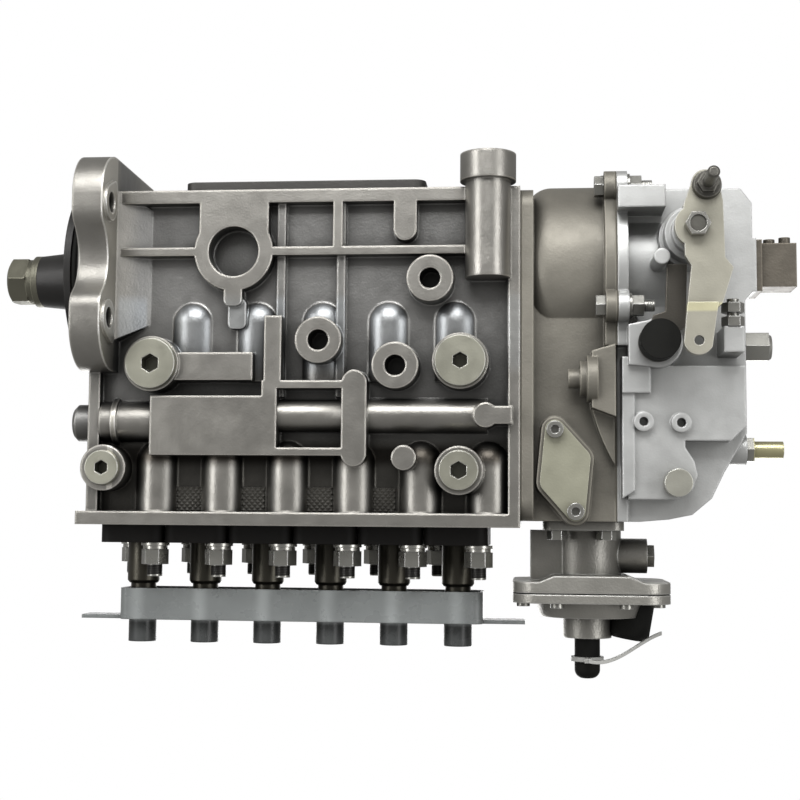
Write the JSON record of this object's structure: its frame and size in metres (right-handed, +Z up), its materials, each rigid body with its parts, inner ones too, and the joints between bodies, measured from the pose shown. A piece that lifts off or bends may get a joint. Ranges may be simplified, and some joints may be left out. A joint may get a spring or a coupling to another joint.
{
  "type": "diesel injection pump",
  "caption": "In-line diesel injection pump with a flange mount, tapered drive shaft, capped outlets, centrifugal governor with control lever, and boost compensator.",
  "frame": {"origin": "on the camshaft's axis, in the plane of the mounting flange's face", "axes": "+X along the camshaft out of the drive end, +Z up towards the outlets, -Y the side with the fuel plugs and the control lever"},
  "size_m": [0.4335, 0.185, 0.2746],
  "materials": {
    "housing_alloy": "cast",
    "governor_alloy": "cast",
    "cover_alloy": "cast",
    "dark_alloy": "cast",
    "plug_steel": "machined",
    "black_rubber": "matte",
    "black_steel": "satin",
    "bright_steel": "ground",
    "dark_steel": "forged",
    "fastener_steel": "plated",
    "zinc_plate": "satin",
    "gasket_paper": "matte",
    "cap_plastic": "translucent",
    "strap_plastic": "matte"
  },
  "bodies": {
    "pump": {"pump_housing": "housing_alloy", "gallery_plugs": "plug_steel", "bottom_cover": "dark_alloy", "drive_end_cover": "dark_alloy", "rubber_seals": "black_rubber", "bearings": "bright_steel", "tappets": "dark_steel", "tappet_rollers": "bright_steel", "plunger_springs": "dark_steel", "barrels": "dark_steel", "element_bushings": "black_steel", "head_studs_and_nuts": "fastener_steel", "head_washers": "bright_steel", "delivery_valves": "bright_steel", "delivery_valve_holders": "plug_steel", "outlet_cap_strip": "cap_plastic", "governor_housing": "governor_alloy", "inspection_cover": "zinc_plate", "housing_gaskets": "gasket_paper", "governor_cover": "cover_alloy", "linkage_pin": "bright_steel", "stop_plate": "black_steel", "sealing_cap": "black_rubber", "stop_screw": "fastener_steel", "cover_fittings": "plug_steel", "end_bracket": "black_steel", "boost_housing": "dark_alloy", "boost_lid": "dark_alloy", "boost_diaphragm": "black_rubber", "boost_spring": "dark_steel", "boost_caps": "black_rubber", "cap_strap": "strap_plastic", "cover_fasteners": "fastener_steel"},
    "camshaft_group": {"camshaft": "dark_steel", "bearing_inner_races": "bright_steel", "shaft_key": "black_steel", "shaft_nut_and_washers": "dark_steel", "governor_hub": "dark_steel"},
    "weight_1": {"flyweight_1": "dark_steel"},
    "weight_2": {"flyweight_2": "dark_steel"},
    "sliding_sleeve": {"governor_sleeve": "bright_steel"},
    "fulcrum": {"fulcrum_lever": "dark_steel"},
    "rack": {"control_rack": "bright_steel"},
    "control_lever_group": {"lever_shaft": "dark_steel", "control_lever": "zinc_plate", "lever_nut": "fastener_steel", "link_stud": "bright_steel"},
    "boost_piston": {"boost_rod": "bright_steel"},
    "element_1": {"plunger_1": "bright_steel", "control_sleeve_1": "bright_steel"},
    "element_2": {"plunger_2": "bright_steel", "control_sleeve_2": "bright_steel"},
    "element_3": {"plunger_3": "bright_steel", "control_sleeve_3": "bright_steel"},
    "element_4": {"plunger_4": "bright_steel", "control_sleeve_4": "bright_steel"},
    "element_5": {"plunger_5": "bright_steel", "control_sleeve_5": "bright_steel"},
    "element_6": {"plunger_6": "bright_steel", "control_sleeve_6": "bright_steel"}
  },
  "joints": [
    {"name": "camshaft_spin", "type": "hinge", "parent": "pump", "child": "camshaft_group", "pos_m": [0, 0, 0], "axis": [1, 0, 0], "continuous": true},
    {"name": "rack_slide", "type": "slide", "parent": "pump", "child": "rack", "axis": [1, 0, 0], "range_m": [-0.008, 0.008]},
    {"name": "fulcrum_turn", "type": "hinge", "parent": "pump", "child": "fulcrum", "pos_m": [-0.287, 0, 0.03], "axis": [0, 1, 0], "range_deg": [-6.6, 6.6]},
    {"name": "sleeve_slide", "type": "slide", "parent": "pump", "child": "sliding_sleeve", "axis": [1, 0, 0], "range_m": [-0.0035, 0.0035]},
    {"name": "weight_1_swing", "type": "hinge", "parent": "camshaft_group", "child": "weight_1", "pos_m": [-0.2475, 0, 0.024], "axis": [0, 1, 0], "range_deg": [-17.2, 17.2]},
    {"name": "weight_2_swing", "type": "hinge", "parent": "camshaft_group", "child": "weight_2", "pos_m": [-0.2475, 0, -0.024], "axis": [0, 1, 0], "range_deg": [-17.2, 17.2]},
    {"name": "control_lever_turn", "type": "hinge", "parent": "pump", "child": "control_lever_group", "pos_m": [-0.317, -0.05, -0.012], "axis": [0, 1, 0], "range_deg": [-3, 38]},
    {"name": "boost_rod_slide", "type": "slide", "parent": "pump", "child": "boost_piston", "axis": [0, 0, 1], "range_m": [-0.006, 0], "stiffness_N_per_m": 5000, "deforming": ["boost_spring", "boost_diaphragm"]},
    {"name": "element_1_turn", "type": "hinge", "parent": "pump", "child": "element_1", "pos_m": [-0.021, 0, 0.097], "axis": [0, 0, 1], "range_deg": [-22.4, 22.4]},
    {"name": "element_2_turn", "type": "hinge", "parent": "pump", "child": "element_2", "pos_m": [-0.056, 0, 0.097], "axis": [0, 0, 1], "range_deg": [-22.4, 22.4]},
    {"name": "element_3_turn", "type": "hinge", "parent": "pump", "child": "element_3", "pos_m": [-0.091, 0, 0.097], "axis": [0, 0, 1], "range_deg": [-22.4, 22.4]},
    {"name": "element_4_turn", "type": "hinge", "parent": "pump", "child": "element_4", "pos_m": [-0.126, 0, 0.097], "axis": [0, 0, 1], "range_deg": [-22.4, 22.4]},
    {"name": "element_5_turn", "type": "hinge", "parent": "pump", "child": "element_5", "pos_m": [-0.161, 0, 0.097], "axis": [0, 0, 1], "range_deg": [-22.4, 22.4]},
    {"name": "element_6_turn", "type": "hinge", "parent": "pump", "child": "element_6", "pos_m": [-0.196, 0, 0.097], "axis": [0, 0, 1], "range_deg": [-22.4, 22.4]}
  ],
  "couplings": [
    {"joint": "fulcrum_turn", "follows": "rack_slide", "rad_per_m": 14.286},
    {"joint": "sleeve_slide", "follows": "rack_slide", "ratio": -0.42857},
    {"joint": "weight_1_swing", "follows": "rack_slide", "rad_per_m": 37.267},
    {"joint": "weight_2_swing", "follows": "rack_slide", "rad_per_m": -37.267},
    {"joint": "element_1_turn", "follows": "rack_slide", "rad_per_m": -48.48},
    {"joint": "element_2_turn", "follows": "rack_slide", "rad_per_m": -48.48},
    {"joint": "element_3_turn", "follows": "rack_slide", "rad_per_m": -48.48},
    {"joint": "element_4_turn", "follows": "rack_slide", "rad_per_m": -48.48},
    {"joint": "element_5_turn", "follows": "rack_slide", "rad_per_m": -48.48},
    {"joint": "element_6_turn", "follows": "rack_slide", "rad_per_m": -48.48}
  ]
}
